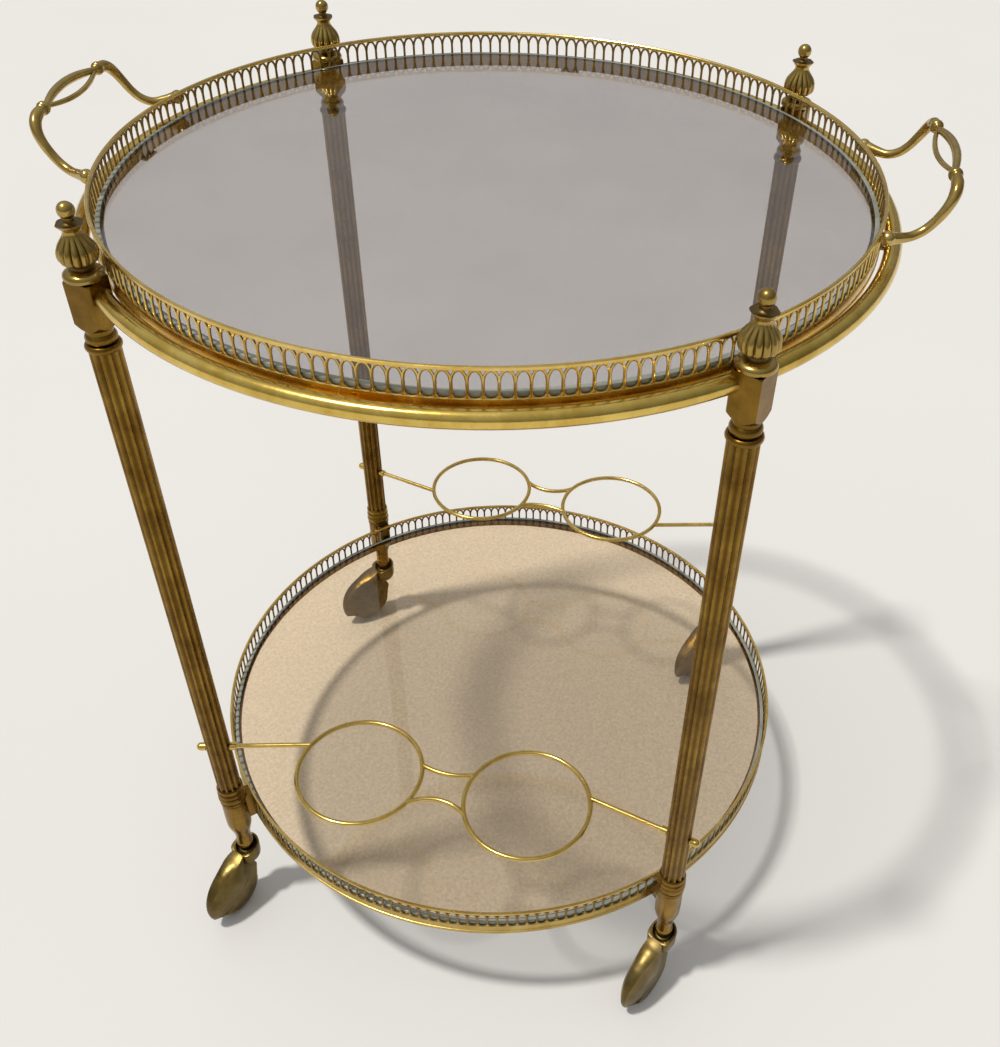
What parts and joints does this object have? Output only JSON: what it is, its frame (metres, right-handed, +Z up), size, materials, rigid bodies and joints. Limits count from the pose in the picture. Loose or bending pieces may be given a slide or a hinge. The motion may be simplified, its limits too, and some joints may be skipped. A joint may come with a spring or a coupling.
{
  "type": "bar cart",
  "caption": "Round brass and glass bar cart with a lift-off gallery tray, a gallery shelf below, bottle rings and hooded swivel casters on fluted legs.",
  "frame": {"origin": "on the floor under the middle of the cart", "axes": "+Z up, the tray's handles lie along X, the front bottle rack faces -Y"},
  "size_m": [0.6355, 0.5812, 0.7274],
  "materials": {
    "brass": "polished, lightly tarnished",
    "dark_brass": "aged bronze tone, satin",
    "steel": "plain turned",
    "glass": "clear float glass with a green edge",
    "wheel": "hard black rubber"
  },
  "bodies": {
    "frame": {"block_front_left": "dark_brass", "ferrule_front_left": "dark_brass", "leg_front_left": "dark_brass", "finial_front_left": "dark_brass", "stud_front_left": "steel", "block_front_right": "dark_brass", "ferrule_front_right": "dark_brass", "leg_front_right": "dark_brass", "finial_front_right": "dark_brass", "stud_front_right": "steel", "block_back_left": "dark_brass", "ferrule_back_left": "dark_brass", "leg_back_left": "dark_brass", "finial_back_left": "dark_brass", "stud_back_left": "steel", "block_back_right": "dark_brass", "ferrule_back_right": "dark_brass", "leg_back_right": "dark_brass", "finial_back_right": "dark_brass", "stud_back_right": "steel", "rail_front": "brass", "rail_right": "brass", "rail_back": "brass", "rail_left": "brass", "tray_rests": "brass", "shelf_gallery": "brass", "shelf_ledge": "brass", "shelf_bosses": "brass", "rack_front": "brass", "rack_back": "brass", "rack_sleeves": "brass", "rack_knobs": "brass", "shelf_glass": "glass", "shelf_screws": "steel"},
    "tray": {"tray_gallery": "brass", "tray_ledge": "brass", "tray_glass": "glass", "handle_right": "brass", "handle_left": "brass"},
    "caster_front_left": {"caster_hood_front_left": "brass", "caster_stem_front_left": "brass", "caster_axle_front_left": "steel"},
    "wheel_front_left": {"caster_wheel_front_left": "wheel"},
    "caster_front_right": {"caster_hood_front_right": "brass", "caster_stem_front_right": "brass", "caster_axle_front_right": "steel"},
    "wheel_front_right": {"caster_wheel_front_right": "wheel"},
    "caster_back_left": {"caster_hood_back_left": "brass", "caster_stem_back_left": "brass", "caster_axle_back_left": "steel"},
    "wheel_back_left": {"caster_wheel_back_left": "wheel"},
    "caster_back_right": {"caster_hood_back_right": "brass", "caster_stem_back_right": "brass", "caster_axle_back_right": "steel"},
    "wheel_back_right": {"caster_wheel_back_right": "wheel"}
  },
  "joints": [
    {"name": "tray_lift", "type": "slide", "parent": "frame", "child": "tray", "axis": [0, 0, 1], "range_m": [0, 0.06]},
    {"name": "swivel_front_left", "type": "hinge", "parent": "frame", "child": "caster_front_left", "pos_m": [-0.205, -0.205, 0.076], "axis": [0, 0, 1], "continuous": true},
    {"name": "roll_front_left", "type": "hinge", "parent": "caster_front_left", "child": "wheel_front_left", "pos_m": [-0.21423, -0.23037, 0.0285], "axis": [0.9397, -0.342, 0], "continuous": true},
    {"name": "swivel_front_right", "type": "hinge", "parent": "frame", "child": "caster_front_right", "pos_m": [0.205, -0.205, 0.076], "axis": [0, 0, 1], "continuous": true},
    {"name": "roll_front_right", "type": "hinge", "parent": "caster_front_right", "child": "wheel_front_right", "pos_m": [0.19316, -0.22927, 0.0285], "axis": [0.8988, -0.4384, 0], "continuous": true},
    {"name": "swivel_back_left", "type": "hinge", "parent": "frame", "child": "caster_back_left", "pos_m": [-0.205, 0.205, 0.076], "axis": [0, 0, 1], "continuous": true},
    {"name": "roll_back_left", "type": "hinge", "parent": "caster_back_left", "child": "wheel_back_left", "pos_m": [-0.22307, 0.18494, 0.0285], "axis": [0.7431, -0.6691, 0], "continuous": true},
    {"name": "swivel_back_right", "type": "hinge", "parent": "frame", "child": "caster_back_right", "pos_m": [0.205, 0.205, 0.076], "axis": [0, 0, 1], "continuous": true},
    {"name": "roll_back_right", "type": "hinge", "parent": "caster_back_right", "child": "wheel_back_right", "pos_m": [0.1899, 0.18262, 0.0285], "axis": [0.829, -0.5592, 0], "continuous": true}
  ]
}
